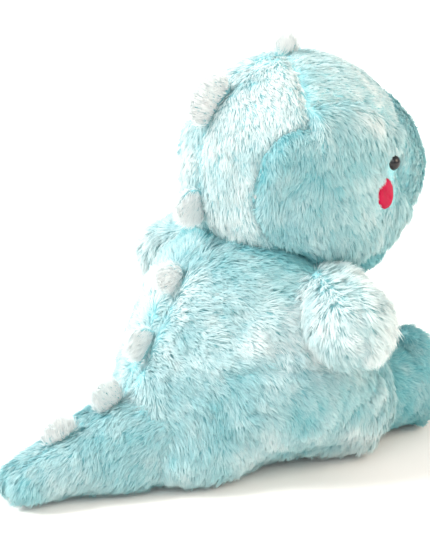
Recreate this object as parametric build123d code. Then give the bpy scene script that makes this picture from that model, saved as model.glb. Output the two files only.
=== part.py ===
"""Seated stuffed dinosaur: sewn plush panels over loose fillings, with soft-jointed limbs.

The toy faces -Y, its tail points to +Y, its own left is +X and up is +Z.
The origin is the middle of the flat seat, on the surface that the toy sits on.
"""
from build123d import *
import os
from math import cos, radians, sin

os.makedirs("parts", exist_ok=True)

# ---------------------------------------------------------------- driving dimensions, mm and degrees
SKIN = 6.0              # plush fabric, backing and pile together
JOINT_GAP = 0.6         # clearance between pieces that move against each other
THREAD_RELIEF = 1.0     # how far embroidery stands above the fabric

REAR_FULLNESS = 0.71    # how square the back corners are; a plain ellipse is 0.71

# Cross-sections seen from above: height, half width, front, back, widest place, front fullness.
TORSO_SECTIONS = [
    (0, 94, -46, 126, 36, 0.74),
    (12, 116, -62, 156, 34, 0.77),
    (42, 133, -79, 177, 30, 0.80),
    (80, 140, -85, 183, 34, 0.78),
    (120, 136, -80, 172, 40, 0.72),
    (160, 123, -70, 152, 38, 0.71),
    (198, 102, -52, 126, 34, 0.71),
    (232, 66, -20, 92, 34, 0.71),
]
HEAD_SECTIONS = [
    (150, 60, -78, 20, -20, 0.71),
    (176, 80, -97, 56, -16, 0.72),
    (202, 95, -106, 82, -8, 0.72),
    (232, 103, -112, 100, -4, 0.72),
    (268, 104, -116, 109, -4, 0.71),
    (302, 103, -117, 110, -3, 0.71),
    (336, 95, -106, 100, -3, 0.71),
    (364, 77, -82, 80, -4, 0.71),
    (386, 48, -52, 48, -2, 0.71),
    (397, 22, -24, 24, 0, 0.71),
]
# Cross-sections of the tail: distance back, half width, half height, height of the centre.
TAIL_SECTIONS = [
    (172, 76, 48, 42),
    (204, 68, 43, 38),
    (240, 54, 36, 32),
    (276, 37, 28, 25),
    (304, 27, 21, 19),
    (322, 17, 14, 14),
    (330, 9, 8, 12),
]

# Neck: the head nods over a ball of firm filling, and turns with it on a sloping shelf.
NECK_TILT = 20.0
NECK_PIVOT = (0, 29, 160)
NECK_BALL_RADIUS = 90.0
NECK_SHELF = 25.0       # shelf height above the pivot, along the tilted neck
NECK_CONE = 60.0        # the underside of the head stays inside this half angle

# Shoulders: (x, y, z) of the seam's centre on the left side, direction of the arm and its size.
SHOULDER = (106, 26, 171)
ARM_DIRECTION = (0.94, 0.25, -0.24)
ARM_LENGTH = 42.0
ARM_ROOT_RADIUS = 34.0
PAW_RADIUS = 40.0
SHOULDER_FACET = 42.0

# Hips: centre of the seam on the left side, then the foot.
HIP = (62, -70, 46)
LEG_ROOT_RADIUS = 44.0
ANKLE_RADIUS = 49.0
LEG_LENGTH = 42.0
FOOT_CENTRE = (62, -118, 52)
FOOT_RADII = (46, 31, 54)
SOLE_FRONT = -130.0     # the sole panel is the fabric in front of this plane
HIP_FACET = 53.0

TAIL_ROOT = 172.0       # how far back the tail's seam is
TAIL_SWING = 12.0
TAIL_CLEARANCE = 1.0    # extra degrees on each side of the wedge
TAIL_FACET = 82.0

# Panel edges.
BELLY_EDGE = -36.0      # the belly panel is in front of this plane
CROWN_SEAM = 22.0       # seam over the head from ear to ear
BACK_SEAM_WIDE = 87.0   # half width of the back-of-head panels at the crown seam
BACK_SEAM_SLOPE = 2.24  # how fast they narrow towards the back
BACK_SEAM_END = 150.0   # their outline is closed here, behind the head
FOREHEAD_EDGE = 352.0
CHIN_TOP = 214.0
CHIN_BACK = -20.0

# Spikes along the spine: name, body, root (y, z), lean from upright, length, height.
SPIKES = [
    ("spike_crown", "head", 4, 397, 2, 20, 16),
    ("spike_back_of_head", "head", 82, 362, 42, 46, 29),
    ("spike_nape", "head", 108, 262, 88, 40, 22),
    ("spike_upper_back", "torso", 132, 190, 66, 38, 26),
    ("spike_lower_back", "torso", 168, 130, 72, 38, 26),
    ("spike_tail_root", "tail", 208, 80, 20, 40, 27),
    ("spike_tail_middle", "tail", 262, 57, 18, 40, 23),
]
SPIKE_THICKNESS = 15.0
SPIKE_ROOT_DEPTH = 9.0

# Face. The muzzle is a broad egg sewn into the front of the head.
MUZZLE_CENTRE = (0, -83, 280)
MUZZLE_RADII = (86, 66, 76)
EYE = (90, -59, 293)
EYE_YAW = 63.0          # direction of the eye, from straight ahead towards the side
EYE_RADIUS = 7.0
EYE_HEIGHT = 5.0
EYE_SHANK_RADIUS = 2.2
EYE_SHANK_LENGTH = 16.0
EYE_STANDOFF = 1.0        # pile pressed flat between the eye and the fabric
WASHER_RADIUS = 8.0
WASHER_THICKNESS = 1.5
WASHER_GAP = 1.0        # between the fabric and the washer
CHEEK_PATCH = (95, -48, 265)
CHEEK_PATCH_YAW = 66.0
CHEEK_PATCH_RADIUS = 13.0
NOSTRIL = (17, -144, 302)
NOSTRIL_RADIUS = 3.2
STITCH_REACH = 40.0     # depth of the tools that cut patches and nostrils out of the surface
MOUTH_HALF_WIDTH = 26.0
MOUTH_HEIGHT = 262.0
MOUTH_SAG = 9.0
MOUTH_WIDTH = 2.6

# Inside the seat.
POUCH_CENTRE = (0, 40, 28)
POUCH_RADII = (72, 64, 18)
POUCH_CLOTH = 1.0

# Small trim on the left side of the body.
STITCH_COUNT = 6
STITCH_PITCH = 6.0
STITCH_FIRST_HEIGHT = 62.0
STITCH_LENGTH = 8.0
STITCH_WIDTH = 1.0
LABEL_SIZE = (0.8, 34, 22)
LABEL_CENTRE = (118, 141, 20)
LABEL_YAW = -42.0

FAR = 600.0             # larger than the whole toy
RISING = (Align.CENTER, Align.CENTER, Align.MIN)
SINKING = (Align.CENTER, Align.CENTER, Align.MAX)
SIDES = (("left", 1), ("right", -1))


# ---------------------------------------------------------------- helpers
def section_face(section, inset):
    """One horizontal outline, an eight-point closed spline fuller at the front corners."""
    height, half_width, front, back, widest, fullness = section
    half_width -= inset
    front += inset
    back -= inset
    right_half = [
        (0, front),
        (fullness * half_width, widest - fullness * (widest - front)),
        (half_width, widest),
        (REAR_FULLNESS * half_width, widest + REAR_FULLNESS * (back - widest)),
        (0, back),
    ]
    left_half = [(-x, y) for x, y in reversed(right_half[1:-1])]
    points = [(x, y, height) for x, y in right_half + left_half]
    return make_face(Spline(*points, periodic=True))


def upright_loft(sections, inset=0.0):
    """Skin surface, or with an inset the surface of what fills it."""
    solid = loft([section_face(section, inset) for section in sections])
    if inset <= 0:
        return solid
    bottom = sections[0][0] + inset
    top = sections[-1][0] - inset
    slab = Box(FAR, FAR, top - bottom, align=RISING)
    return solid & (Pos(0, 0, bottom) * slab)


def tail_loft(inset=0.0):
    """Tail with a flat underside, lying along +Y."""
    faces = []
    for back, half_width, half_height, centre in TAIL_SECTIONS:
        plane = Plane(origin=(0, back, centre), x_dir=(1, 0, 0), z_dir=(0, 1, 0))
        faces.append(plane * Ellipse(half_width - inset, half_height - inset))
    return loft(faces) & region(z_min=inset, y_max=TAIL_SECTIONS[-1][0] - inset)


def region(x_min=-FAR, x_max=FAR, y_min=-FAR, y_max=FAR, z_min=-FAR, z_max=FAR):
    """Box between the given planes, for cutting a shell into panels."""
    size = (x_max - x_min, y_max - y_min, z_max - z_min)
    centre = ((x_min + x_max) / 2, (y_min + y_max) / 2, (z_min + z_max) / 2)
    return Pos(*centre) * Box(*size)


def ellipsoid(centre, radii):
    return Pos(*centre) * scale(Sphere(1), by=radii)


def beyond(plane):
    """Half space on the plane's positive side."""
    return plane * Box(FAR, FAR, FAR, align=RISING)


def side_plane(point, direction, side):
    """Plane through a left-side point, mirrored to the right when side is -1."""
    x, y, z = point
    dx, dy, dz = direction
    return Plane(origin=(side * x, y, z), z_dir=(side * dx, dy, dz))


def yaw_direction(yaw):
    """Horizontal direction turned from straight ahead towards the toy's left."""
    return (sin(radians(yaw)), -cos(radians(yaw)), 0)


def biggest(shape):
    """The largest solid of a cut, without the crumbs that a cut can leave."""
    return max(shape.solids(), key=lambda solid: solid.volume)


def save(name, shape):
    shape.label = name
    export_step(shape, f"parts/{name}.step")


# ---------------------------------------------------------------- outer and inner shapes
neck_axis = (0, -sin(radians(NECK_TILT)), cos(radians(NECK_TILT)))
neck_plane = Plane(origin=NECK_PIVOT, z_dir=neck_axis)
neck_shelf = neck_plane.offset(NECK_SHELF)
head_outer = upright_loft(HEAD_SECTIONS)


def torso_cutters():
    """What the neighbours need clear of the torso: shelf, shoulder, hip and tail facets."""
    cutters = [beyond(neck_shelf)]
    for _, side in SIDES:
        shoulder = side_plane(SHOULDER, ARM_DIRECTION, side).offset(-JOINT_GAP)
        cutters.append(shoulder * Cylinder(SHOULDER_FACET, FAR, align=RISING))
        hip = side_plane(HIP, (0, -1, 0), side).offset(-JOINT_GAP)
        cutters.append(hip * Cylinder(HIP_FACET, FAR, align=RISING))
    cutters.append(region(-TAIL_FACET, TAIL_FACET, y_min=TAIL_ROOT - JOINT_GAP, z_max=2 * TAIL_FACET))
    return cutters


def make_torso():
    outer = upright_loft(TORSO_SECTIONS)
    inner = upright_loft(TORSO_SECTIONS, SKIN)
    raised = upright_loft(TORSO_SECTIONS, -THREAD_RELIEF)
    for cutter in torso_cutters():
        outer -= cutter
        inner -= cutter
    shell = outer - inner
    save("seat_panel", biggest(shell & region(z_max=SKIN)))
    walls = shell & region(z_min=SKIN)
    belly = walls & region(y_max=BELLY_EDGE)
    save("belly_panel", biggest(belly))
    back = walls & region(y_min=BELLY_EDGE)
    save("back_panel_left", biggest(back & region(x_min=0)))
    save("back_panel_right", biggest(back & region(x_max=0)))
    pouch = ellipsoid(POUCH_CENTRE, POUCH_RADII)
    pellets = ellipsoid(POUCH_CENTRE, tuple(radius - POUCH_CLOTH for radius in POUCH_RADII))
    save("pellet_pouch", pouch - pellets)
    save("pellets", pellets)
    save("torso_filling", biggest(inner - pouch))

    stitches = []
    for number in range(STITCH_COUNT):
        height = STITCH_FIRST_HEIGHT + number * STITCH_PITCH
        band = region(
            x_min=0,
            y_min=BELLY_EDGE - STITCH_LENGTH / 2,
            y_max=BELLY_EDGE + STITCH_LENGTH / 2,
            z_min=height,
            z_max=height + STITCH_WIDTH,
        )
        stitches.append(biggest((raised - outer) & band))
    save("closing_stitches", Compound(stitches))
    label = Pos(*LABEL_CENTRE) * Rot(0, 0, LABEL_YAW) * Box(*LABEL_SIZE)
    save("care_label", biggest(label - outer))
    return outer


def make_neck():
    ball = Pos(*NECK_PIVOT) * Sphere(NECK_BALL_RADIUS)
    save("neck_filling", ball & beyond(neck_shelf.offset(JOINT_GAP)))


def head_space():
    """Room for the head: inside a cone from the pivot and outside the neck ball."""
    radius = NECK_BALL_RADIUS + JOINT_GAP
    angle = radians(NECK_CONE)
    rim = (radius * sin(angle), radius * cos(angle))
    far_rim = (FAR * sin(angle), FAR * cos(angle))
    far_axis = (0, far_rim[1])
    crown = (0, radius)
    cup = ThreePointArc(crown, (radius * sin(angle / 2), radius * cos(angle / 2)), rim)
    outline = [cup, Line(rim, far_rim), Line(far_rim, far_axis), Line(far_axis, crown)]
    return neck_plane * revolve(Plane.XZ * make_face(outline), Axis.Z)


def make_eye(name, side):
    """Domed eye with its shank, and the washer that locks it behind the fabric."""
    plane = side_plane(EYE, yaw_direction(EYE_YAW), side)
    seat = plane.offset(EYE_STANDOFF)
    dome = ellipsoid((0, 0, 0), (EYE_RADIUS, EYE_RADIUS, EYE_HEIGHT)) & region(z_min=0)
    shank = seat * Cylinder(EYE_SHANK_RADIUS, EYE_SHANK_LENGTH, align=SINKING)
    eye = seat * dome + shank
    washer = plane.offset(-SKIN - WASHER_GAP) * Cylinder(WASHER_RADIUS, WASHER_THICKNESS, align=SINKING)
    save(f"eye_{name}", eye)
    save(f"eye_washer_{name}", washer - eye)
    return shank, washer + eye


def make_embroidery(muzzle):
    """Satin-stitched cheek patches, nostrils and mouth, lying on the fabric."""
    relief = upright_loft(HEAD_SECTIONS, -THREAD_RELIEF) - head_outer
    for name, side in SIDES:
        plane = side_plane(CHEEK_PATCH, yaw_direction(CHEEK_PATCH_YAW), side)
        patch = relief & (plane * Cylinder(CHEEK_PATCH_RADIUS, STITCH_REACH))
        save(f"cheek_patch_{name}", biggest(patch))
    relief = muzzle_egg(-THREAD_RELIEF) - muzzle
    x, y, z = NOSTRIL
    nostrils = []
    for _, side in SIDES:
        spot = Pos(side * x, y, z) * Rot(90, 0, 0) * Cylinder(NOSTRIL_RADIUS, STITCH_REACH)
        nostrils.append(biggest(relief & spot))
    save("nostril_stitches", Compound(nostrils))
    smile = ThreePointArc(
        (-MOUTH_HALF_WIDTH, MOUTH_HEIGHT + MOUTH_SAG),
        (0, MOUTH_HEIGHT),
        (MOUTH_HALF_WIDTH, MOUTH_HEIGHT + MOUTH_SAG),
    )
    band = Plane.XZ * trace(smile, MOUTH_WIDTH)
    save("mouth_stitches", biggest(relief & extrude(band, FAR / 2, dir=(0, -1, 0))))


def muzzle_egg(inset=0.0):
    return ellipsoid(MUZZLE_CENTRE, tuple(radius - inset for radius in MUZZLE_RADII))


def make_head():
    space = head_space()
    muzzle = muzzle_egg() & space
    muzzle_core = muzzle_egg(SKIN) & space
    outer = biggest(head_outer & space)
    core = biggest(upright_loft(HEAD_SECTIONS, SKIN) & space)
    shell = outer - core - muzzle_core
    save("muzzle_panel", biggest(muzzle - muzzle_core - outer))

    narrowing = (BACK_SEAM_WIDE * BACK_SEAM_SLOPE + CROWN_SEAM - BACK_SEAM_END) / BACK_SEAM_SLOPE
    back_outline = Polyline(
        (-BACK_SEAM_WIDE, CROWN_SEAM),
        (BACK_SEAM_WIDE, CROWN_SEAM),
        (narrowing, BACK_SEAM_END),
        (-narrowing, BACK_SEAM_END),
        close=True,
    )
    back_zone = extrude(make_face(back_outline), FAR, dir=(0, 0, 1))
    forehead_zone = region(y_max=CROWN_SEAM, z_min=FOREHEAD_EDGE)
    chin_zone = region(y_max=CHIN_BACK, z_max=CHIN_TOP)
    eyes = {name: make_eye(name, side) for name, side in SIDES}

    back = shell & back_zone
    cheeks = shell - back_zone - forehead_zone - chin_zone
    for name, side in SIDES:
        half = region(x_min=0) if side > 0 else region(x_max=0)
        save(f"head_back_panel_{name}", biggest(back & half))
        save(f"cheek_panel_{name}", biggest((cheeks & half) - eyes[name][0]))
    save("forehead_panel", biggest(shell & forehead_zone))
    save("chin_panel", biggest(shell & chin_zone))
    core += muzzle_core
    for _, inside in eyes.values():
        core -= inside
    save("head_filling", biggest(core))
    make_embroidery(muzzle)


def arm_solid(plane, inset):
    upper = Cone(ARM_ROOT_RADIUS - inset, PAW_RADIUS - inset, ARM_LENGTH, align=RISING)
    return plane * (upper + Pos(0, 0, ARM_LENGTH) * Sphere(PAW_RADIUS - inset))


def make_arm(name, side):
    """Short stuffed arm of a front and a back panel, sewn on with its root open."""
    plane = side_plane(SHOULDER, ARM_DIRECTION, side)
    outside = beyond(plane)
    outer = arm_solid(plane, 0) & outside
    filling = arm_solid(plane, SKIN) & outside
    shell = outer - filling
    dx, dy, _ = ARM_DIRECTION
    seam_plane = side_plane(SHOULDER, (dy, -dx, 0), side)
    save(f"arm_front_panel_{name}", biggest(shell & beyond(seam_plane)))
    save(f"arm_back_panel_{name}", biggest(shell - beyond(seam_plane)))
    save(f"arm_filling_{name}", biggest(filling))


def leg_solid(side, inset):
    hip = side_plane(HIP, (0, -1, 0), side)
    stub = hip * Cone(LEG_ROOT_RADIUS - inset, ANKLE_RADIUS - inset, LEG_LENGTH, align=RISING)
    x, y, z = FOOT_CENTRE
    foot = ellipsoid((side * x, y, z), tuple(radius - inset for radius in FOOT_RADII))
    return (stub + foot) & region(y_max=HIP[1], z_min=inset)


def make_leg(name, side):
    """Short stuffed leg ending in an upright foot with its own sole panel."""
    outer = leg_solid(side, 0)
    filling = leg_solid(side, SKIN)
    shell = outer - filling
    save(f"sole_panel_{name}", biggest(shell & region(y_max=SOLE_FRONT)))
    save(f"leg_panel_{name}", biggest(shell & region(y_min=SOLE_FRONT)))
    save(f"leg_filling_{name}", biggest(filling))


def make_tail():
    """Tail that swings on its wedge-shaped root."""
    outer = tail_loft()
    inner = tail_loft(SKIN)
    for _, side in SIDES:
        swing = side * (TAIL_SWING + TAIL_CLEARANCE)
        direction = (sin(radians(swing)), -cos(radians(swing)), 0)
        root = Plane(origin=(0, TAIL_ROOT, 0), z_dir=direction)
        outer -= beyond(root)
        inner -= beyond(root)
    shell = outer - inner
    save("tail_underside_panel", biggest(shell & region(z_max=SKIN)))
    walls = shell & region(z_min=SKIN)
    save("tail_panel_left", biggest(walls & region(x_min=0)))
    save("tail_panel_right", biggest(walls & region(x_max=0)))
    save("tail_filling", biggest(inner))
    return outer


def make_spikes(bodies):
    """Stuffed fur tabs, each caught by its root in the seam along the spine."""
    for name, body, y, z, lean, length, height in SPIKES:
        up = (0, sin(radians(lean)), cos(radians(lean)))
        plane = Plane(origin=(0, y, z), x_dir=(1, 0, 0), z_dir=up)
        outlines = [
            (-SPIKE_ROOT_DEPTH, 0.50, 0.50),
            (0.55 * height, 0.44, 0.50),
            (height, 0.17, 0.26),
        ]
        faces = []
        for rise, length_share, thickness_share in outlines:
            oval = Ellipse(SPIKE_THICKNESS * thickness_share, length * length_share)
            faces.append(plane.offset(rise) * oval)
        save(name, biggest(loft(faces) - bodies[body]))


torso_outer = make_torso()
make_neck()
make_head()
for side_name, side_sign in SIDES:
    make_arm(side_name, side_sign)
    make_leg(side_name, side_sign)
tail_outer = make_tail()
make_spikes({"head": head_outer, "torso": torso_outer, "tail": tail_outer})
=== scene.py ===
"""Look of the seated stuffed dinosaur: fabric backing, fur pile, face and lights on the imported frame.

Shapes are worked out in millimetres in the frame's own axes: the toy faces -Y and its left is +X.
"""
import math

import bmesh
import bpy
import numpy as np
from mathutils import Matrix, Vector
from mathutils.kdtree import KDTree


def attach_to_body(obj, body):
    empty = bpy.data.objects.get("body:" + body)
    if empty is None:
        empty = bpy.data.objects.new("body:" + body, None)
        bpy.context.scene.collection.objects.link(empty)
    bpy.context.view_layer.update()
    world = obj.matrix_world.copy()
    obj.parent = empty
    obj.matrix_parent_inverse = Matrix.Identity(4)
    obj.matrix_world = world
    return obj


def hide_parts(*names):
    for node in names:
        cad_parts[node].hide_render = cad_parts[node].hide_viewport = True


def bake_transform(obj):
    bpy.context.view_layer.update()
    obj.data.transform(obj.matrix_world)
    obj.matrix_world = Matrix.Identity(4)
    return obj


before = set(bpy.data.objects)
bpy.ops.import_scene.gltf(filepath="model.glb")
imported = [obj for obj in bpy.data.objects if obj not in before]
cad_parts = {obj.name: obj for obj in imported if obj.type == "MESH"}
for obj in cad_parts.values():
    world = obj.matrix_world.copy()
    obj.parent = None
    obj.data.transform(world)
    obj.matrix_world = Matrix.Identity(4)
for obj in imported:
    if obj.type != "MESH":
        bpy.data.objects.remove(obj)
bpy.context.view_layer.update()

MM = 0.001
PANEL_INSET = 5.0       # the backing lies this far inside the toy's outline
FILLING_INSET = 9.0     # and the filling this far
SIDES = (("left", 1.0), ("right", -1.0))
rng = np.random.default_rng(20417)
DENSITY = 0.85      # strands for each square millimetre


# ---------------------------------------------------------------- distance fields, in millimetres
def length(v):
    return np.sqrt((v * v).sum(-1))


def unit(v):
    return v / np.maximum(length(v), 1e-9)[..., None]


def egg(p, centre, radii, tilt=0.0):
    """Distance to an ellipsoid that is tilted about X."""
    q = p - np.array(centre, float)
    c, s = math.cos(math.radians(tilt)), math.sin(math.radians(tilt))
    q = np.stack([q[..., 0], c * q[..., 1] + s * q[..., 2], c * q[..., 2] - s * q[..., 1]], -1)
    r = np.array(radii, float)
    near = length(q / r)
    return near * (near - 1.0) / np.maximum(length(q / (r * r)), 1e-9)


def horn(p, start, end, start_radius, end_radius, widen=1.0):
    """Distance to a tapered capsule, stretched sideways by widen."""
    a = np.array(start, float)
    b = np.array(end, float)
    stretch = np.array([widen, 1.0, 1.0])
    pa = (p - a) / stretch
    ba = (b - a) / stretch
    share = np.clip((pa @ ba) / (ba @ ba), 0, 1)
    return length(pa - share[..., None] * ba) - (start_radius + (end_radius - start_radius) * share)


def join(a, b, k):
    share = np.clip(0.5 + 0.5 * (b - a) / k, 0, 1)
    return b * (1 - share) + a * share - k * share * (1 - share)


def cut(a, b, k):
    return -join(-a, -b, k)


def torso_field(p):
    d = egg(p, (0, 42, 90), (142, 128, 100))
    d = join(d, egg(p, (0, 33, 160), (115, 97, 75)), 45)
    d = join(d, horn(p, (0, 50, 165), (0, 146, 60), 62, 46), 50)
    for _, side in SIDES:
        d = join(d, egg(p, (side * 74, -13, 57), (57, 60, 58)), 20)
    d = join(d, egg(p, (0, 140, 28), (92, 72, 44)), 40)
    return cut(d, -p[..., 2], 10)


def tail_field(p):
    d = horn(p, (0, 150, 46), (0, 303, 22), 51, 23, 1.42)
    d = join(d, egg(p, (0, 190, 22), (62, 62, 27)), 24)
    return cut(d, -p[..., 2], 9)


def cranium_field(p):
    d = egg(p, (0, -4, 296), (103, 113, 102))
    d = join(d, egg(p, (0, -4, 222), (98, 99, 47), 20), 50)
    return join(d, egg(p, (0, -52, 238), (84, 78, 52), -6), 30)


def muzzle_field(p):
    return egg(p, (0, -83, 280), (86, 66, 76), -8)


def head_field(p):
    return join(cranium_field(p), muzzle_field(p), 24)


def arm_field(side):
    def field(p):
        return horn(p, (side * 102, 25, 173), (side * 146, 36, 163), 38, 41)
    return field


def leg_field(side):
    def field(p):
        d = horn(p, (side * 62, -40, 48), (side * 62, -108, 50), 45, 46)
        d = join(d, egg(p, (side * 62, -116, 54), (47, 33, 57)), 8)
        return cut(d, -p[..., 2], 7)
    return field


# ---------------------------------------------------------------- smooth noise
def noise(p, scale, seed):
    """Value noise between -1 and 1, the same on every run."""
    q = p / scale + seed * 17.13
    cell = np.floor(q).astype(np.int64)
    f = q - cell
    f = f * f * (3 - 2 * f)
    total = np.zeros(p.shape[:-1])
    for corner in range(8):
        step = np.array([corner & 1, corner >> 1 & 1, corner >> 2 & 1])
        c = cell + step
        h = (c[..., 0] * 374761393 + c[..., 1] * 668265263 + c[..., 2] * 2147483647 + seed * 1274126177)
        h = (h ^ (h >> 13)) * 1103515245
        h = (h ^ (h >> 16)) & 0xFFFFFF
        weight = np.prod(np.where(step == 1, f, 1 - f), -1)
        total += weight * (h / 0x7FFFFF - 1.0)
    return total


# ---------------------------------------------------------------- backing meshes
def sphere_mesh(level):
    bm = bmesh.new()
    bmesh.ops.create_icosphere(bm, subdivisions=level, radius=1.0)
    verts = np.array([v.co[:] for v in bm.verts])
    faces = np.array([[v.index for v in f.verts] for f in bm.faces])
    bm.free()
    return verts, faces


SPHERES = {level: sphere_mesh(level) for level in (5, 6, 7)}


def vertex_normals(verts, faces):
    a, b, c = (verts[faces[:, i]] for i in range(3))
    n = np.cross(b - a, c - a)
    out = np.zeros_like(verts)
    for i in range(3):
        for axis in range(3):
            out[:, axis] += np.bincount(faces[:, i], n[:, axis], len(verts))
    return unit(out)


def wrap(field, centre, stretch, level, inset):
    """Closed mesh on the surface where the field is -inset, seen from centre."""
    directions, faces = SPHERES[level]
    directions = unit(directions * np.array(stretch, float))
    centre = np.array(centre, float)
    reach = np.full(len(directions), 15.0)
    for _ in range(60):
        reach -= 0.75 * (field(centre + directions * reach[:, None]) + inset)
    return centre + directions * reach[:, None], faces


def nearest(points, targets):
    """Distance from each point to the closest target, and which it is."""
    tree = KDTree(len(targets))
    for i, target in enumerate(targets):
        tree.insert(target, i)
    tree.balance()
    found = [tree.find(p) for p in points]
    return np.array([f[2] for f in found]), np.array([f[1] for f in found])


def line_distance(p, points):
    """Distance to a line through a few points."""
    best = np.full(p.shape[:-1], 1e9)
    for a, b in zip(points[:-1], points[1:]):
        a, b = np.array(a, float), np.array(b, float)
        share = np.clip(((p - a) @ (b - a)) / ((b - a) @ (b - a)), 0, 1)
        best = np.minimum(best, length(p - a - share[..., None] * (b - a)))
    return best


def hollow(distance, width, depth):
    return depth * np.exp(-(distance / width) ** 2)


# Panels of each body part, numbered by where a point lies.
def head_zone(p):
    x, y, z = np.abs(p[:, 0]), p[:, 1], p[:, 2]
    left = p[:, 0] > 0
    zone = np.where(left, 3, 4)
    crown_seam = 10 + 0.33 * x
    cheek_top = 350 + 6 * np.cos(y / 30)
    forehead = (y < crown_seam) & (z > cheek_top - 0.0035 * np.minimum(y, 0) ** 2)
    zone = np.where(forehead, 2, zone)
    behind = (y > crown_seam) & (y + 2.24 * x < 219)
    zone = np.where(behind, np.where(left, 0, 1), zone)
    zone = np.where((z < 206) & (y < -25), 6, zone)
    return np.where(muzzle_field(p) < cranium_field(p) - 1.0, 5, zone)


def torso_zone(p):
    x, y, z = p[:, 0], p[:, 1], p[:, 2]
    zone = np.where(x > 0, 0, 1)
    zone = np.where(y < -36 + 0.08 * (z - 60), 2, zone)
    return np.where(z < 7, 3, zone)


def tail_zone(p):
    return np.where(p[:, 2] < 7, 2, np.where(p[:, 0] > 0, 0, 1))


def arm_zone(side):
    def zone(p):
        along = (p[:, 0] - side * 107) * side * 0.28 - (p[:, 1] - 31) * 0.92
        return np.where(along > 0, 0, 1)
    return zone


def leg_zone(p):
    return np.where(p[:, 1] < -131, 1, 0)


HIP_FOLDS = (
    [(-121, -30, 104), (-136, 2, 79), (-137, 21, 66)],
    [(-113, -47, 98), (-133, -27, 71), (-134, -11, 47)],
)


def torso_relief(p):
    """Folds at the hips and shallow dents in the filling."""
    mirrored = p * np.array([-1, 1, 1])
    streaks = noise(p * np.array([0.45, 0.45, 1.3]), 12, 5)
    relief = 2.2 * noise(p, 46, 3) + 1.6 * noise(p, 21, 4) + 1.1 * streaks
    for fold in HIP_FOLDS:
        fold_distance = np.minimum(line_distance(p, fold), line_distance(mirrored, fold))
        relief -= hollow(fold_distance, 6, 5)
    return relief


def head_relief(p):
    relief = 1.8 * noise(p, 52, 7) + 1.2 * noise(p, 23, 8)
    zone = head_zone(p)
    cheek = (zone == 3) | (zone == 4)
    streaks = noise(p * np.array([1.0, 1.0, 0.25]), 11, 9)
    return relief + np.where(cheek, 3.0 + 1.2 * streaks, 0.0)


def limb_relief(p):
    return 1.2 * noise(p, 28, 11)


class Part:
    """One body part: its backing mesh, panels and where its fur grows."""

    def __init__(self, name, field, zone, relief, centre, stretch, level, seam_depth=3.5):
        self.relief = relief
        verts, faces = wrap(field, centre, stretch, level, PANEL_INSET)
        normals = vertex_normals(verts, faces)
        zones = zone(verts)
        face_zones = zones[faces]
        mixed = faces[face_zones.min(1) != face_zones.max(1)]
        if len(mixed):
            edge = verts[np.unique(mixed)]
            self.seam, _ = nearest(verts, edge)
        else:
            self.seam = np.full(len(verts), 99.0)
        puckers = 1 + 0.35 * noise(verts, 9, 21)
        move = relief(verts) - hollow(self.seam, 4.5, seam_depth) * puckers
        verts = verts + normals * move[:, None]
        verts[:, 2] = np.maximum(verts[:, 2], 1.5)
        self.verts = verts
        self.faces = faces
        self.normals = vertex_normals(verts, faces)
        self.face_zones = np.median(zones[faces], axis=1).astype(int)


# ---------------------------------------------------------------- objects
def new_object(name, verts, faces, material):
    """Mesh object from millimetre points and triangles."""
    mesh = bpy.data.meshes.new(name)
    mesh.vertices.add(len(verts))
    mesh.vertices.foreach_set("co", (np.asarray(verts) * MM).astype(np.float32).ravel())
    mesh.loops.add(3 * len(faces))
    mesh.loops.foreach_set("vertex_index", np.asarray(faces, np.int32).ravel())
    mesh.polygons.add(len(faces))
    mesh.polygons.foreach_set("loop_start", np.arange(0, 3 * len(faces), 3, dtype=np.int32))
    mesh.polygons.foreach_set("use_smooth", np.full(len(faces), True))
    mesh.update(calc_edges=True)
    mesh.materials.append(material)
    obj = bpy.data.objects.new(name, mesh)
    bpy.context.scene.collection.objects.link(obj)
    return obj


def panel_object(name, part, zone, material):
    """The backing of one panel, cut out of its part's mesh."""
    faces = part.faces[part.face_zones == zone]
    used, compact = np.unique(faces, return_inverse=True)
    return new_object(name, part.verts[used], compact.reshape(-1, 3), material)


def strand_uvs(count):
    """A cell for each strand in the bake's UV square, root at the bottom and tip at the top."""
    across = int(math.ceil(math.sqrt(count)))
    number = np.arange(count)
    col, row = number % across, number // across
    pad = 0.12
    left = (col + pad) / across
    right = (col + 1 - pad) / across
    low = (row + pad) / across
    high = (row + 1 - pad) / across
    return left, right, low, high


STRAND_STEPS = np.array([0.0, 0.52, 1.0])
STRAND_WIDTHS = np.array([0.85, 1.0])
STRAND_FACES = np.array([[0, 1, 3], [0, 3, 2], [2, 3, 4]])


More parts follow.
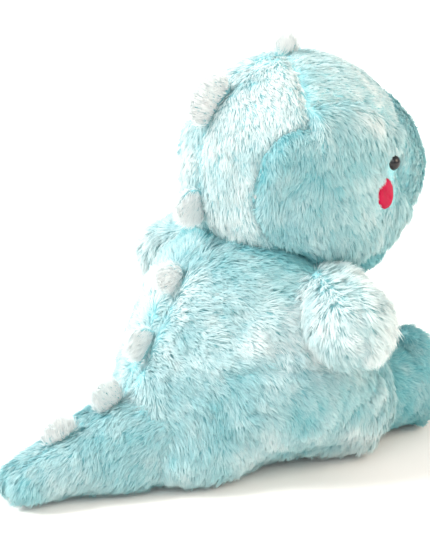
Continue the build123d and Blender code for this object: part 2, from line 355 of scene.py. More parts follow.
def strand_object(name, fur, material):
    """One mesh of curved, tapering strands."""
    count = len(fur["root"])
    steps = STRAND_STEPS
    rise = 1 - (1 - steps) ** 2
    reach = steps ** 1.15
    up = fur["normal"] * (fur["length"] * fur["lift"])[:, None]
    out = fur["flow"] * (fur["length"] * np.sqrt(1 - fur["lift"] ** 2))[:, None]
    spine = fur["root"][:, None] + up[:, None] * rise[None, :, None] + out[:, None] * reach[None, :, None]
    spine = spine + fur["pull"][:, None] * (steps ** 1.6)[None, :, None]
    spine[..., 2] = np.maximum(spine[..., 2], 0.4 + 0.8 * (1 - steps))
    side = np.cross(unit(spine[:, -1] - spine[:, 0]), fur["normal"])
    side = unit(side) + fur["normal"] * fur["roll"][:, None]
    side = unit(side)
    points = np.empty((count, 5, 3))
    for ring in range(2):
        half = 0.5 * fur["width"][:, None] * STRAND_WIDTHS[ring] * side
        points[:, 2 * ring] = spine[:, ring] - half
        points[:, 2 * ring + 1] = spine[:, ring] + half
    points[:, 4] = spine[:, 2]
    faces = (STRAND_FACES[None] + 5 * np.arange(count)[:, None, None]).reshape(-1, 3)
    obj = new_object(name, points.reshape(-1, 3), faces, material)
    mesh = obj.data
    along = STRAND_STEPS[[0, 0, 1, 1, 2]]
    colour = np.ones((count, 5, 4), np.float32)
    colour[..., 0] = along[None]
    colour[..., 1] = fur["tone"][:, None]
    colour[..., 2] = fur["chance"][:, None]
    strand = mesh.attributes.new("strand", "FLOAT_COLOR", "POINT")
    strand.data.foreach_set("color", colour.ravel())
    left, right, low, high = strand_uvs(count)
    u = np.stack([left, right, left, right, (left + right) / 2], 1)
    v = low[:, None] + (high - low)[:, None] * along[None]
    uv = np.stack([u, v], -1)[:, STRAND_FACES.ravel()]
    layer = mesh.uv_layers.new(name="OFBake")
    layer.data.foreach_set("uv", uv.astype(np.float32).ravel())
    own = unit(np.cross(side, unit(spine[:, -1] - spine[:, 0])))
    own *= np.sign((own * fur["normal"]).sum(-1))[:, None]
    soft = unit(own * 0.30 + fur["normal"] * 0.85)
    mesh.normals_split_custom_set_from_vertices(np.repeat(soft, 5, 0).astype(np.float32))
    return obj


def tangent(v, normals):
    return unit(v - (v * normals).sum(-1)[:, None] * normals)


DOWN = np.array([0.0, 0.0, -1.0])


STRAND_WIDTH = 0.72


def grow(part, zone, look, keep=None):
    """Strands on one panel, gathered into tufts that follow the panel's flow."""
    faces = part.faces[part.face_zones == zone]
    a, b, c = (part.verts[faces[:, i]] for i in range(3))
    area = 0.5 * length(np.cross(b - a, c - a))
    count = int(area.sum() * DENSITY * look.get("density", 1.0))
    chosen = rng.choice(len(faces), count, p=area / area.sum())
    r1, r2 = np.sqrt(rng.random(count)), rng.random(count)
    w = np.stack([1 - r1, r1 * (1 - r2), r1 * r2], 1)
    corner = faces[chosen]
    root = (part.verts[corner] * w[..., None]).sum(1)
    normal = unit((part.normals[corner] * w[..., None]).sum(1))
    seam = (part.seam[corner] * w).sum(1)
    if keep is not None:
        kept = keep(root)
        root, normal, seam = root[kept], normal[kept], seam[kept]
        count = len(root)
    flow = look["flow"](root, normal)
    sway = 0.55 * noise(root, 34, look["seed"]) + 0.35 * noise(root, 13, look["seed"] + 1)
    sway *= look.get("sway", 1.0)

    tufts = max(1, count // look.get("tuft", 16))
    centre_index = rng.choice(count, tufts, replace=False)
    _, owner = nearest(root, root[centre_index])
    tuft_sway = rng.normal(0, 0.14, tufts)[owner]
    tuft_lift = rng.normal(0, 0.06, tufts)[owner]
    tuft_size = (1 + rng.normal(0, 0.12, tufts))[owner]
    tuft_tone = rng.normal(0, 0.05, tufts)[owner]
    angle = sway + tuft_sway + rng.normal(0, 0.16, count)
    across = np.cross(normal, flow)
    flow = tangent(flow * np.cos(angle)[:, None] + across * np.sin(angle)[:, None], normal)

    near_seam = np.exp(-(seam / 4.0) ** 2) * (1 - 0.9 * band(root[:, 2], 345, 370))
    size = look["length"] * tuft_size * rng.uniform(0.75, 1.15, count)
    if "trim" in look:
        size *= look["trim"](root)
    size *= 1 - 0.35 * near_seam
    wave = noise(root, 9, look["seed"] + 5)
    size *= 1 + 0.12 * wave
    lift = 0.85 * look["lift"] + 0.08 * wave + tuft_lift + rng.normal(0, 0.05, count)
    lift = np.clip(lift, 0.10, 0.95)
    pull = root[centre_index][owner] - root
    pull -= (pull * normal).sum(-1)[:, None] * normal
    pull *= look.get("gather", 0.2)
    tone = look["tone"](root, normal) + tuft_tone + rng.normal(0, 0.05, count)
    tone += 0.20 * noise(root, 34, look["seed"] + 2) + 0.20 * noise(root, 13, look["seed"] + 3)
    # Painted shade and light: paler on raised relief, darker in dents and hip folds.
    tone += 0.05 * part.relief(root)
    tone -= 0.25 * near_seam
    return {
        "root": root - normal * 0.6,
        "normal": normal,
        "flow": flow,
        "length": size,
        "lift": lift,
        "pull": pull,
        "width": look.get("width", STRAND_WIDTH) * rng.uniform(0.7, 1.25, count),
        "roll": rng.normal(0, 0.3, count),
        "tone": np.clip(tone, 0, 1),
        "chance": rng.random(count),
    }


# ---------------------------------------------------------------- materials
def make_material(name, roughness=0.6, sheen=0.0, coat=0.0, specular=0.5):
    """Principled material; returns it with its node tree and shader."""
    material = bpy.data.materials.new(name)
    material.use_nodes = True
    nodes = material.node_tree
    shader = nodes.nodes["Principled BSDF"]
    shader.inputs["Roughness"].default_value = roughness
    shader.inputs["Sheen Weight"].default_value = sheen
    shader.inputs["Sheen Roughness"].default_value = 0.5
    shader.inputs["Coat Weight"].default_value = coat
    shader.inputs["Specular IOR Level"].default_value = specular
    return material, nodes, shader


def add_node(tree, kind, **values):
    node = tree.nodes.new(kind)
    for key, value in values.items():
        setattr(node, key, value)
    return node


def ramp_node(tree, stops):
    ramp = tree.nodes.new("ShaderNodeValToRGB")
    points = ramp.color_ramp.elements
    points[0].position, points[0].color = stops[0][0], (*stops[0][1], 1)
    points[1].position, points[1].color = stops[-1][0], (*stops[-1][1], 1)
    for position, colour in stops[1:-1]:
        points.new(position).color = (*colour, 1)
    return ramp


def mix_colours(tree, factor, first, second, blend="MIX"):
    """Mix of two colours, each a socket or a plain value."""
    mix = add_node(tree, "ShaderNodeMix", data_type="RGBA", blend_type=blend)
    for index, value in ((0, factor), (6, first), (7, second)):
        if isinstance(value, bpy.types.NodeSocket):
            tree.links.new(value, mix.inputs[index])
        else:
            mix.inputs[index].default_value = value
    return mix.outputs[2]


def noise_node(tree, scale, detail=3.0, stretch=None):
    """Noise in the toy's own coordinates, in cells of 1/scale metres."""
    where = tree.nodes.new("ShaderNodeTexCoord")
    texture = tree.nodes.new("ShaderNodeTexNoise")
    texture.inputs["Scale"].default_value = scale
    texture.inputs["Detail"].default_value = detail
    if stretch is None:
        tree.links.new(where.outputs["Object"], texture.inputs["Vector"])
    else:
        mapping = tree.nodes.new("ShaderNodeMapping")
        mapping.inputs["Scale"].default_value = stretch
        tree.links.new(where.outputs["Object"], mapping.inputs["Vector"])
        tree.links.new(mapping.outputs["Vector"], texture.inputs["Vector"])
    return texture


def add_bump(tree, shader, height, strength, distance):
    bump = tree.nodes.new("ShaderNodeBump")
    bump.inputs["Strength"].default_value = strength
    bump.inputs["Distance"].default_value = distance
    tree.links.new(height, bump.inputs["Height"])
    tree.links.new(bump.outputs["Normal"], shader.inputs["Normal"])


def fur_material(name, root, middle, soft_tip, pale_tip):
    """Frosted pile: deep colour at the root, and a tip between soft and pale by the strand's tone."""
    material, tree, shader = make_material(name, roughness=0.8, specular=0.08)
    strand = add_node(tree, "ShaderNodeAttribute", attribute_name="strand")
    parts = tree.nodes.new("ShaderNodeSeparateColor")
    tree.links.new(strand.outputs["Color"], parts.inputs["Color"])
    along, tone, chance = (parts.outputs[i] for i in range(3))
    soft = ramp_node(tree, [(0.0, root), (0.28, middle), (0.75, soft_tip)])
    pale = ramp_node(tree, [(0.0, soft_tip), (0.5, pale_tip)])
    tree.links.new(along, soft.inputs["Fac"])
    tree.links.new(along, pale.inputs["Fac"])
    dye = noise_node(tree, 24, 2.0)
    shift = add_node(tree, "ShaderNodeMath", operation="MULTIPLY_ADD", use_clamp=True)
    tree.links.new(dye.outputs["Fac"], shift.inputs[0])
    shift.inputs[1].default_value = 0.35
    offset = add_node(tree, "ShaderNodeMath", operation="SUBTRACT")
    tree.links.new(tone, offset.inputs[0])
    offset.inputs[1].default_value = 0.17
    tree.links.new(offset.outputs[0], shift.inputs[2])
    colour = mix_colours(tree, shift.outputs[0], soft.outputs["Color"], pale.outputs["Color"])
    shade = ramp_node(tree, [(0.0, (0.86, 0.88, 0.9)), (1.0, (1.0, 1.0, 1.0))])
    tree.links.new(chance, shade.inputs["Fac"])
    colour = mix_colours(tree, 1.0, colour, shade.outputs["Color"], "MULTIPLY")
    tree.links.new(colour, shader.inputs["Base Color"])
    through = tree.nodes.new("ShaderNodeBsdfTranslucent")
    tree.links.new(colour, through.inputs["Color"])
    both = tree.nodes.new("ShaderNodeMixShader")
    both.inputs[0].default_value = 0.45
    tree.links.new(shader.outputs[0], both.inputs[1])
    tree.links.new(through.outputs[0], both.inputs[2])
    tree.links.new(both.outputs[0], tree.nodes["Material Output"].inputs["Surface"])
    return material


def cloth_material(name, dark, light, scale=260.0, roughness=0.9, bump=0.4):
    """Knitted or woven ground with a little mottling."""
    material, tree, shader = make_material(name, roughness=roughness, specular=0.15)
    mottle = noise_node(tree, scale * 0.2, 4.0)
    weave = noise_node(tree, scale * 6, 2.0)
    colours = ramp_node(tree, [(0.3, dark), (0.7, light)])
    tree.links.new(mottle.outputs["Fac"], colours.inputs["Fac"])
    tree.links.new(colours.outputs["Color"], shader.inputs["Base Color"])
    add_bump(tree, shader, weave.outputs["Fac"], bump, 0.0004)
    return material


def plastic_material(name, colour, roughness, coat):
    material, tree, shader = make_material(name, roughness=roughness, coat=coat)
    shader.inputs["Coat Roughness"].default_value = 0.03
    grain = noise_node(tree, 90, 3.0)
    darker = tuple(0.8 * c for c in colour)
    shades = ramp_node(tree, [(0.35, darker), (0.65, colour)])
    tree.links.new(grain.outputs["Fac"], shades.inputs["Fac"])
    tree.links.new(shades.outputs["Color"], shader.inputs["Base Color"])
    return material


TEAL_ROOT = (0.10, 0.50, 0.57)
TEAL_MIDDLE = (0.20, 0.60, 0.65)
SOFT_TIP = (0.36, 0.71, 0.73)
PALE_TIP = (0.93, 0.98, 0.965)

FUR = fur_material("plush_pile", TEAL_ROOT, TEAL_MIDDLE, SOFT_TIP, PALE_TIP)
SPIKE_FUR = fur_material("spike_pile", (0.62, 0.86, 0.87), (0.78, 0.94, 0.94), (0.90, 0.98, 0.97),
                         (0.98, 1.0, 0.99))
SOLE_FUR = fur_material("sole_pile", (0.03, 0.30, 0.32), (0.07, 0.40, 0.40), (0.17, 0.52, 0.48),
                        (0.55, 0.74, 0.66))
BACKING = cloth_material("plush_backing", (0.25, 0.56, 0.60), (0.36, 0.66, 0.69))
FIBRE = cloth_material("filling_fibre", (0.74, 0.75, 0.74), (0.9, 0.9, 0.89), 120.0)
POUCH = cloth_material("pouch_weave", (0.62, 0.61, 0.56), (0.72, 0.71, 0.66), 300.0)
RIBBON = cloth_material("label_satin", (0.84, 0.84, 0.82), (0.92, 0.92, 0.91), 500.0, 0.35)
THREAD = cloth_material("seam_thread", (0.10, 0.36, 0.42), (0.2, 0.5, 0.55), 500.0, 0.5)
CHEEK_THREAD = cloth_material("cheek_thread", (0.33, 0.0, 0.028), (0.48, 0.003, 0.05), 400.0, 0.42)
FACE_THREAD = cloth_material("face_thread", (0.01, 0.06, 0.08), (0.02, 0.1, 0.12), 400.0, 0.45)
EYE_BLACK = plastic_material("eye_black", (0.003, 0.003, 0.004), 0.2, 0.0)
BEADS = plastic_material("pellet_beads", (0.75, 0.74, 0.7), 0.5, 0.0)
WASHER = plastic_material("washer_plastic", (0.7, 0.7, 0.66), 0.45, 0.0)


# Spikes: body, root (y, z), lean back from upright, length and height.
SPIKES = {
    "spike_crown": ("head", (4, 393), 2, 36, 18),
    "spike_back_of_head": ("head", (86, 352), 52, 60, 28),
    "spike_nape": ("head", (107, 257), 92, 42, 24),
    "spike_upper_back": ("torso", (132, 188), 66, 36, 24),
    "spike_lower_back": ("torso", (165, 128), 72, 42, 26),
    "spike_tail_root": ("tail", (208, 80), 24, 42, 24),
    "spike_tail_middle": ("tail", (262, 57), 18, 44, 20),
}


# ---------------------------------------------------------------- flow and tone of the pile
def flow_mix(*terms):
    """Flow along the surface from weighted directions."""
    def flow(p, n):
        total = np.zeros_like(p)
        for weight, direction in terms:
            total = total + weight * (direction(p) if callable(direction) else np.array(direction, float))
        return tangent(total, n)
    return flow


def torso_flow(p, n):
    """From the spine round to the front, turning down over the hips and the seat."""
    outward = np.stack([p[:, 0], np.zeros(len(p)), np.zeros(len(p))], -1)
    round_body = np.cross(np.cross(n, outward), n) + np.array([0, -60.0, 0])
    round_body = unit(round_body)
    low = np.clip((118 - p[:, 2]) / 70, 0, 1)[:, None]
    return tangent(round_body * (1 - 0.85 * low) + DOWN * (0.32 + 1.1 * low), n)


def pole_flow(pole, droop):
    def flow(p, n):
        away = unit(p - np.array(pole, float))
        return tangent(away + DOWN * droop, n)
    return flow


def arm_flow(side):
    """Down the arm from the shoulder to the paw."""
    def flow(p, n):
        along = np.array([side * 0.15, -0.45, -0.8])
        return tangent(np.broadcast_to(along, p.shape), n)
    return flow


def band(value, low, high):
    share = np.clip((value - low) / (high - low), 0, 1)
    return share * share * (3 - 2 * share)


def painted_spike_root_shade(p):
    """Painted shade: deeper colour round the root of each spike, where it meets the body."""
    near = np.full(len(p), 99.0)
    for _, (y, z), lean, size, _ in SPIKES.values():
        c, s = math.cos(math.radians(lean)), math.sin(math.radians(lean))
        half = 0.5 * size
        near = np.minimum(near, line_distance(p, [(0, y - half * c, z + half * s),
                                                  (0, y + half * c, z - half * s)]))
    return 0.18 * np.exp(-(near / 13) ** 2)


def painted_crease_shade(other, p):
    """Painted shade: deeper colour where the pile closes against a neighbouring form."""
    return 0.55 * np.exp(-(np.clip(other(p), 0, 99) / 8) ** 2)


def torso_tone(p, n):
    tone = 0.56 - 0.34 * band(p[:, 2], 165, 208) + 0.35 * np.exp(-(p[:, 0] / 42) ** 2) * band(p[:, 1], 20, 70)
    tone -= 0.22 * np.exp(-((p[:, 2] - 95) / 34) ** 2)
    # Painted light: the pile is paler where it faces up.
    return tone + 0.10 * np.clip(n[:, 2], 0, 1) - painted_spike_root_shade(p) - painted_crease_shade(head_field, p)


def head_tone(base):
    def tone(p, n):
        # Painted shade on the sides of the face and painted light on the top of the head.
        side = band(np.abs(p[:, 0]), 40, 95) * band(p[:, 1], -40, 20)
        tone = base - 0.30 * side + 0.18 * band(p[:, 2], 300, 380)
        # Painted shade low on the head, under it and where it meets the torso.
        return tone - 0.15 * (1 - band(p[:, 2], 195, 240)) - painted_spike_root_shade(p) - painted_crease_shade(torso_field, p)
    return tone


def flat_tone(value):
    return lambda p, n: np.full(len(p), value)


# Face on the left side: centre, and how far the pile is trimmed round it.
EYE = np.array([90.0, -60.0, 293.0])
PATCH = np.array([94.0, -48.0, 265.0])
NOSTRIL = np.array([17.0, -146.0, 302.0])
MOUTH = [(26, -141, 271), (14, -146, 265), (0, -148, 262), (-14, -146, 265), (-26, -141, 271)]
TRIMMED = ((EYE, 15), (PATCH, 21), (NOSTRIL, 6))
BARE = ((EYE, 8.2), (PATCH, 13.5), (NOSTRIL, 3))


def mirrored_left(p):
    return np.stack([np.abs(p[:, 0]), p[:, 1], p[:, 2]], -1)


def face_trim(p):
    """Shorter pile around the eyes, the patches, the nostrils and the mouth."""
    size = np.ones(len(p))
    left = mirrored_left(p)
    for place, radius in TRIMMED:
        size *= 1 - 0.75 * np.exp(-(length(left - place) / radius) ** 4)
    return size * (1 - 0.6 * np.exp(-(line_distance(p, MOUTH) / 8) ** 4))


def off_the_face(p):
    """No pile grows where the eyes and the embroidery are sewn."""
    kept = line_distance(p, MOUTH) > 3.0
    left = mirrored_left(p)
    for place, radius in BARE:
        kept &= length(left - place) > radius
    return kept


HEAD_LOOKS = {
    0: ("head_back_panel_left", dict(length=11, lift=0.30,
                                     flow=flow_mix((1, DOWN), (0.5, lambda p: p * [1, 0, 0] / 60)),
                                     tone=head_tone(0.82), seed=31)),
    1: ("head_back_panel_right", dict(length=11, lift=0.30,
                                      flow=flow_mix((1, DOWN), (0.5, lambda p: p * [1, 0, 0] / 60)),
                                      tone=head_tone(0.82), seed=32)),
    2: ("forehead_panel", dict(length=9, lift=0.26, flow=flow_mix((0.4, DOWN), (1, (0, -1, 0))),
                               tone=head_tone(0.52), seed=33, sway=0.5)),
    3: ("cheek_panel_left", dict(length=12, lift=0.36, flow=flow_mix((1, DOWN), (0.25, (0, -1, 0))),
                                 tone=head_tone(0.46), seed=34, trim=face_trim)),
    4: ("cheek_panel_right", dict(length=12, lift=0.36, flow=flow_mix((1, DOWN), (0.25, (0, -1, 0))),
                                  tone=head_tone(0.46), seed=35, trim=face_trim)),
    5: ("muzzle_panel", dict(length=9, lift=0.32, flow=pole_flow((0, -140, 300), 0.3),
                             tone=head_tone(0.42), seed=36, trim=face_trim)),
    6: ("chin_panel", dict(length=11, lift=0.45, flow=flow_mix((1, DOWN), (0.4, (0, -1, 0))),
                           tone=head_tone(0.35), seed=37)),
}
TORSO_LOOKS = {
    0: ("back_panel_left", dict(length=12.5, lift=0.34, flow=torso_flow, tone=torso_tone, seed=41)),
    1: ("back_panel_right", dict(length=12.5, lift=0.34, flow=torso_flow, tone=torso_tone, seed=42)),
    2: ("belly_panel", dict(length=12, lift=0.34, flow=flow_mix((1, DOWN)), tone=torso_tone, seed=43)),
    3: ("seat_panel", dict(length=6, lift=0.3, density=0.25, flow=flow_mix((1, (0, 1, 0))),
                           tone=flat_tone(0.2), seed=44)),
}
TAIL_LOOKS = {
    0: ("tail_panel_left", dict(length=12, lift=0.34, flow=flow_mix((0.9, DOWN), (0.7, (0, 1, 0))),
                                tone=flat_tone(0.40), seed=51)),
    1: ("tail_panel_right", dict(length=12, lift=0.34, flow=flow_mix((0.9, DOWN), (0.7, (0, 1, 0))),
                                 tone=flat_tone(0.40), seed=52)),
    2: ("tail_underside_panel", dict(length=6, lift=0.3, density=0.25, flow=flow_mix((1, (0, 1, 0))),
                                     tone=flat_tone(0.2), seed=53)),
}


# ---------------------------------------------------------------- building the toy
def shade_node(node, material):
    """Gives a carried-over CAD piece its finished material."""
    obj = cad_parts[node]
    if not obj.material_slots:
        obj.data.materials.append(material)
    for slot in obj.material_slots:
        slot.material = material


def clothe(part, looks, attach, keep=None):
    """Backing and pile for each of a part's panels."""
    for zone, (node, look) in looks.items():
        backing = panel_object(f"{node}_backing", part, zone, BACKING)
        attach(backing)
        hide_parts(node)
        fur = grow(part, zone, look, keep)
        pile = strand_object(f"{node}_pile", fur, look.get("material", FUR))
        attach(pile)


def fill(name, field, centre, stretch, level, attach, node, inset=FILLING_INSET):
    """The filling, just inside the backing."""
    verts, faces = wrap(field, centre, stretch, level, inset)
    verts += vertex_normals(verts, faces) * (0.8 * noise(verts, 17, 61))[:, None]
    verts[:, 2] = np.maximum(verts[:, 2], 3.5)
    obj = new_object(name, verts, faces, FIBRE)
    attach(obj)
    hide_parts(node)


def riding(body):
    return lambda obj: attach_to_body(obj, body)


def blending(start, end):
    start = tuple(c * MM for c in start)
    end = tuple(c * MM for c in end)
    return lambda obj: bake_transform(obj)


def outside(*fields, depth):
    """Keeps strands that are not buried in a neighbouring part."""
    def keep(p):
        kept = np.ones(len(p), bool)
        for field in fields:
            kept &= field(p) > -depth
        return kept
    return keep


arms = {name: arm_field(side) for name, side in SIDES}
legs = {name: leg_field(side) for name, side in SIDES}

torso = Part("torso", torso_field, torso_zone, torso_relief, (0, 40, 100), (140, 130, 110), 7)
clothe(torso, TORSO_LOOKS, riding("torso"), outside(head_field, tail_field, *arms.values(), *legs.values(),
                                                    depth=20))
fill("torso_filling_fibre", torso_field, (0, 40, 100), (140, 130, 110), 6, riding("torso"), "torso_filling")

head = Part("head", head_field, head_zone, head_relief, (0, -12, 282), (104, 122, 112), 7)
buried = outside(torso_field, depth=20)
clothe(head, HEAD_LOOKS, riding("head"), lambda p: buried(p) & off_the_face(p))
fill("head_filling_fibre", head_field, (0, -12, 282), (104, 122, 112), 6, riding("head"), "head_filling")

tail = Part("tail", tail_field, tail_zone, limb_relief, (0, 235, 34), (60, 110, 38), 6)
tail_attach = blending((0, 176, 42), (0, 214, 42))
clothe(tail, TAIL_LOOKS, tail_attach, outside(torso_field, depth=12))
fill("tail_filling_fibre", tail_field, (0, 235, 34), (60, 110, 38), 5, tail_attach, "tail_filling")

for name, side in SIDES:
    attach = blending((side * 112, 33, 168), (side * 140, 41, 160))
    centre = (side * 128, 37, 165)
    part = Part(f"arm_{name}", arms[name], arm_zone(side), limb_relief, centre, (60, 45, 45), 6, 1.5)
    look = dict(length=16, lift=0.40, flow=arm_flow(side), tone=flat_tone(0.85), gather=0.3, tuft=26, seed=71)
    looks = {0: (f"arm_front_panel_{name}", look), 1: (f"arm_back_panel_{name}", look)}
    clothe(part, looks, attach, outside(torso_field, depth=8))
    fill(f"arm_filling_fibre_{name}", arms[name], centre, (60, 45, 45), 5, attach, f"arm_filling_{name}")

for name, side in SIDES:
    attach = blending((side * 62, -72, 48), (side * 62, -96, 48))
    centre = (side * 62, -96, 52)
    part = Part(f"leg_{name}", legs[name], leg_zone, limb_relief, centre, (46, 54, 54), 6)
    leg_look = dict(length=10, lift=0.34, flow=flow_mix((1, DOWN), (0.6, (0, -1, 0))),
                    tone=flat_tone(0.12), seed=81)
    sole_look = dict(length=7, lift=0.5, flow=flow_mix((1, DOWN)), tone=flat_tone(0.35), seed=82,
                     material=SOLE_FUR)
    looks = {0: (f"leg_panel_{name}", leg_look), 1: (f"sole_panel_{name}", sole_look)}
    clothe(part, looks, attach, outside(torso_field, depth=8))
    fill(f"leg_filling_fibre_{name}", legs[name], centre, (46, 54, 54), 5, attach, f"leg_filling_{name}")

NECK_CENTRE, NECK_RADII = (0, 22, 215), (66, 58, 34)


def neck_field(p):
    """The filling that links the torso to the head."""
    return egg(p, NECK_CENTRE, NECK_RADII, 20)


fill("neck_filling_fibre", neck_field, NECK_CENTRE, NECK_RADII, 5, riding("neck"), "neck_filling", 0.0)


# ---------------------------------------------------------------- spikes


def spike_field(place, lean, size, height):
    y, z = place
    c, s = math.cos(math.radians(lean)), math.sin(math.radians(lean))

    def field(p):
        across = p[..., 0]
        up = (p[..., 1] - y) * s + (p[..., 2] - z) * c
        along = (p[..., 1] - y) * c - (p[..., 2] - z) * s
        local = np.stack([across, along, up], -1)
        return egg(local, (0, 0, 0.12 * height), (8.5, 0.5 * size, 0.86 * height))
    return field, np.array([0, s, c])


for node, (body, place, lean, size, height) in SPIKES.items():
    field, up = spike_field(place, lean, size, height)
    centre = np.array([0, place[0], place[1]], float) + up * 0.12 * height
    part = Part(node, field, lambda p: np.zeros(len(p), int), limb_relief, centre, (12, 24, 24), 5, 0.0)
    part.verts += up * 1.5
    look = dict(length=11, lift=0.24, flow=flow_mix((1.0, up), (0.45, DOWN)), tone=flat_tone(0.95),
                gather=0.15,
                density=1.5, tuft=14, seed=91, material=SPIKE_FUR)
    attach = tail_attach if body == "tail" else riding(body)
    host = {"head": head_field, "torso": torso_field, "tail": tail_field}[body]
    clothe(part, {0: (node, look)}, attach, outside(host, depth=7))


# ---------------------------------------------------------------- face
def gradient(field, p):
    step = 0.5
    axes = np.eye(3) * step
    return unit(np.stack([field(p + axis) - field(p - axis) for axis in axes], -1))


def settle(field, p, inset):
    """Moves points along the field until they lie at the given depth."""
    for _ in range(12):
        p = p - gradient(field, p) * (field(p) + inset)[:, None]
    return p


def grid_faces(rows, columns, closed=True):
    """Triangles of a grid of points whose columns may close into a ring."""
    faces = []
    for row in range(rows - 1):
        for column in range(columns if closed else columns - 1):
            a = row * columns + column
            b = row * columns + (column + 1) % columns
            faces += [(a, a + columns, b + columns), (a, b + columns, b)]
    return faces


def satin_patch(name, field, places, radius, depth, node, material, riding_on="head"):
    """Round satin-stitched spots, raised in the middle and ridged by their threads."""
    rings, spokes = 26, 72
    all_verts, all_faces = [], []
    for place in places:
        centre = settle(field, np.array([place], float), depth)
        n = gradient(field, centre)[0]
        side = unit(np.cross(n, [0, 0, 1.0])[None])[0]
        up = np.cross(side, n)
        share = np.linspace(0.02, 1, rings)[:, None]
        angle = np.linspace(0, 2 * math.pi, spokes, endpoint=False)[None]
        x = radius * share * np.cos(angle)
        y = 1.08 * radius * share * np.sin(angle)
        flat = centre[0] + x[..., None] * side + y[..., None] * up
        points = settle(field, flat.reshape(-1, 3), depth)
        crown = 1.7 * np.sqrt(np.clip(1 - share ** 4, 0, 1)) + 0 * angle
        threads = np.sin(y * 2 * math.pi / 1.1 + 1.5 * np.sin(x / 4))
        ridges = 0.16 * threads * np.sqrt(np.clip(1 - share ** 6, 0, 1))
        points = points + n * (crown + ridges - 1.6 * share ** 10).reshape(-1, 1)
        all_faces += [tuple(v + len(all_verts) for v in face) for face in grid_faces(rings, spokes)]
        all_faces += [(len(all_verts) + i, len(all_verts) + (i + 1) % spokes, len(all_verts))
                      for i in range(1, spokes - 1)]
        all_verts += list(points)
    obj = new_object(name, np.array(all_verts), all_faces, material)
    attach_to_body(obj, riding_on)
    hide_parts(node)


def satin_line(name, field, line, width, node, material):
    """A stitched line: a rounded cord of thread turns lying on the backing."""
    path = [np.array(point, float) for point in line]
    steps = np.linspace(0, len(path) - 1, 90)
    points = np.array([[np.interp(steps, range(len(path)), [q[i] for q in path])] for i in range(3)])[:, 0].T
    points = settle(field, points, 3.4)
    for _ in range(6):
        points[1:-1] = (points[:-2] + 2 * points[1:-1] + points[2:]) / 4
    n = gradient(field, points)
    ahead = unit(np.gradient(points, axis=0))
    side = np.cross(ahead, n)
    angle = np.linspace(0, 2 * math.pi, 14, endpoint=False)
    run = np.arange(len(points))[:, None]
    bead = 1 + 0.10 * np.sin(run * 2.2 + angle[None])
    taper = np.sqrt(np.clip(1 - (np.linspace(-1, 1, len(points)) ** 12), 0.02, 1))[:, None]
    half = 0.5 * width * bead * taper
    ring = half[..., None] * (np.cos(angle)[None, :, None] * side[:, None]
                              + 0.7 * np.sin(angle)[None, :, None] * n[:, None])
    obj = new_object(name, (points[:, None] + ring).reshape(-1, 3), grid_faces(len(points), 14), material)
    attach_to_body(obj, "head")
    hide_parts(node)


def make_eye(name, side):
    """Polished dome with a fine rim, seated in the pile."""
    place = EYE * np.array([side, 1, 1])
    centre = settle(cranium_field, place[None], -0.5)
    n = gradient(head_field, centre)[0]
    across = unit(np.cross(n, [0, 0, 1.0])[None])[0]
    up = np.cross(across, n)
    profile = [(0.3, 5.3), (2.0, 5.05), (3.8, 4.35), (5.3, 3.2), (6.3, 2.0), (6.9, 0.9), (7.2, 0.2),
               (7.6, 0.1)]
    profile += [(7.9, -0.3), (7.6, -0.8), (5.0, -1.0), (2.4, -1.2), (2.1, -6.0), (2.0, -11.0)]
    radius, height = np.array(profile).T
    angle = np.linspace(0, 2 * math.pi, 48, endpoint=False)
    ring = np.cos(angle)[:, None] * across + np.sin(angle)[:, None] * up
    points = centre[0] + radius[:, None, None] * ring[None] + height[:, None, None] * n
    faces = grid_faces(len(profile), 48)
    faces += [(0, i, (i + 1) % 48) for i in range(1, 47)]
    obj = new_object(f"eye_dome_{name}", points.reshape(-1, 3), faces, EYE_BLACK)
    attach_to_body(obj, "head")
    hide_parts(f"eye_{name}")


for name, side in SIDES:
    make_eye(name, side)
    satin_patch(f"cheek_satin_{name}", cranium_field, [PATCH * [side, 1, 1]], 14, 0.5,
                f"cheek_patch_{name}", CHEEK_THREAD)
satin_patch("nostril_satin", muzzle_field, [NOSTRIL, NOSTRIL * [-1, 1, 1]], 3.4, 3.2, "nostril_stitches",
            FACE_THREAD)
satin_line("mouth_satin", muzzle_field, MOUTH, 3.0, "mouth_stitches", FACE_THREAD)


# ---------------------------------------------------------------- label, thread and the inside of the seat
LABEL_WIDTH = 22.0
LABEL_LENGTH = 68.0


def make_label():
    """Blank satin ribbon, folded in half with both ends caught in the seam at the back of the left hip."""
    root = settle(torso_field, np.array([[106.0, 129.0, 20.0]]), 4.0)[0]
    out = unit(np.array([[0.74, 0.67, 0.0]]))[0]
    side = np.array([-out[1], out[0], 0.0])
    bend = 1.1
    leg = (LABEL_LENGTH - math.pi * bend) / 2
    run = np.linspace(0, LABEL_LENGTH, 80)
    turn = np.clip((run - leg) / bend, 0, math.pi)
    along = np.where(run < leg, run,
                     np.where(run > LABEL_LENGTH - leg, LABEL_LENGTH - run, leg + bend * np.sin(turn)))
    apart = -bend * np.cos(turn)
    curl = 1.2 * np.sin(along / 34 * 2.4)
    across = np.linspace(-0.5, 0.5, 16) * LABEL_WIDTH
    wave = 0.35 * np.sin(across / LABEL_WIDTH * 5)[None] * (along / 34)[:, None]
    points = (root + along[:, None, None] * out + (apart + curl)[:, None, None] * side
              + wave[..., None] * side + across[None, :, None] * np.array([0, 0, 1.0]))
    points[..., 2] = np.maximum(points[..., 2], 1.0)
    obj = new_object("care_ribbon", points.reshape(-1, 3), grid_faces(80, 16, closed=False), RIBBON)
    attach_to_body(obj, "torso")
    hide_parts("care_label")


make_label()
shade_node("pellets", BEADS)
shade_node("pellet_pouch", POUCH)
shade_node("closing_stitches", THREAD)
for name, _ in SIDES:
    shade_node(f"eye_washer_{name}", WASHER)


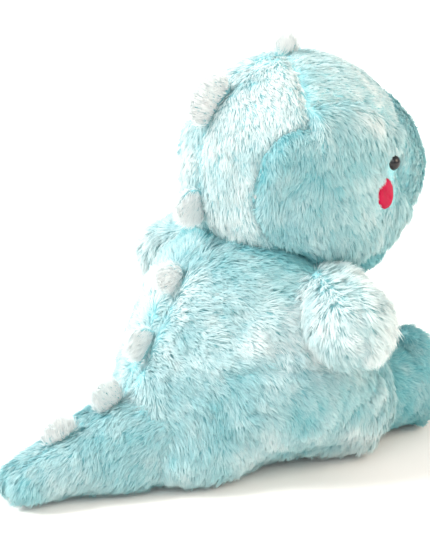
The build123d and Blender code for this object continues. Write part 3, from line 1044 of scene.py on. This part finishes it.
# ---------------------------------------------------------------- floor, light and camera
VIEW_AZIMUTH = 235.0
VIEW_ELEVATION = 17.0
VIEW_DISTANCE = 1.5
VIEW_TARGET = Vector((0.0407, 0.0582, 0.175))


def direction(azimuth, elevation):
    """Unit vector towards a place around the toy: 0 is in front of it, 90 on its left."""
    a, e = math.radians(azimuth), math.radians(elevation)
    return Vector((math.sin(a) * math.cos(e), -math.cos(a) * math.cos(e), math.sin(e)))


def make_floor():
    mesh = bpy.data.meshes.new("floor")
    size = 6.0
    mesh.from_pydata([(-size, -size, 0), (size, -size, 0), (size, size, 0), (-size, size, 0)], [],
                     [(0, 1, 2, 3)])
    floor = bpy.data.objects.new("floor", mesh)
    bpy.context.scene.collection.objects.link(floor)
    material, tree, shader = make_material("floor_white", roughness=0.9)
    shader.inputs["Base Color"].default_value = (0.90, 0.885, 0.86, 1)
    mesh.materials.append(material)


def make_light(name, azimuth, elevation, distance, size, power, colour):
    data = bpy.data.lights.new(name, "AREA")
    data.shape = "DISK"
    data.size = size
    data.energy = power
    data.color = colour
    light = bpy.data.objects.new(name, data)
    light.visible_camera = False
    target = Vector((0, 0.05, 0.15))
    light.location = target + direction(azimuth, elevation) * distance
    light.rotation_euler = (target - light.location).to_track_quat("-Z", "Y").to_euler()
    bpy.context.scene.collection.objects.link(light)


def make_sun(name, azimuth, elevation, strength, spread, colour):
    data = bpy.data.lights.new(name, "SUN")
    data.energy = strength
    data.angle = math.radians(spread)
    data.color = colour
    sun = bpy.data.objects.new(name, data)
    sun.rotation_euler = (-direction(azimuth, elevation)).to_track_quat("-Z", "Y").to_euler()
    bpy.context.scene.collection.objects.link(sun)


def make_camera():
    data = bpy.data.cameras.new("camera")
    data.lens = 100.0
    data.sensor_width = 36.0
    camera = bpy.data.objects.new("camera", data)
    camera.location = VIEW_TARGET + direction(VIEW_AZIMUTH, VIEW_ELEVATION) * VIEW_DISTANCE
    camera.rotation_euler = (VIEW_TARGET - camera.location).to_track_quat("-Z", "Y").to_euler()
    bpy.context.scene.collection.objects.link(camera)
    bpy.context.scene.camera = camera


make_floor()
make_sun("key", 150, 42, 3.7, 28, (1.0, 0.995, 0.98))
make_light("fill", 235, 38, 2.4, 1.6, 12, (0.99, 0.995, 1.0))
make_light("warm", 305, 30, 1.6, 0.8, 11, (1.0, 0.78, 0.60))
make_camera()
world = bpy.data.worlds.new("studio")
world.use_nodes = True
world.node_tree.nodes["Background"].inputs["Color"].default_value = (1.0, 1.0, 1.0, 1)
world.node_tree.nodes["Background"].inputs["Strength"].default_value = 0.9
bpy.context.scene.world = world
bpy.context.scene.view_settings.view_transform = "Standard"
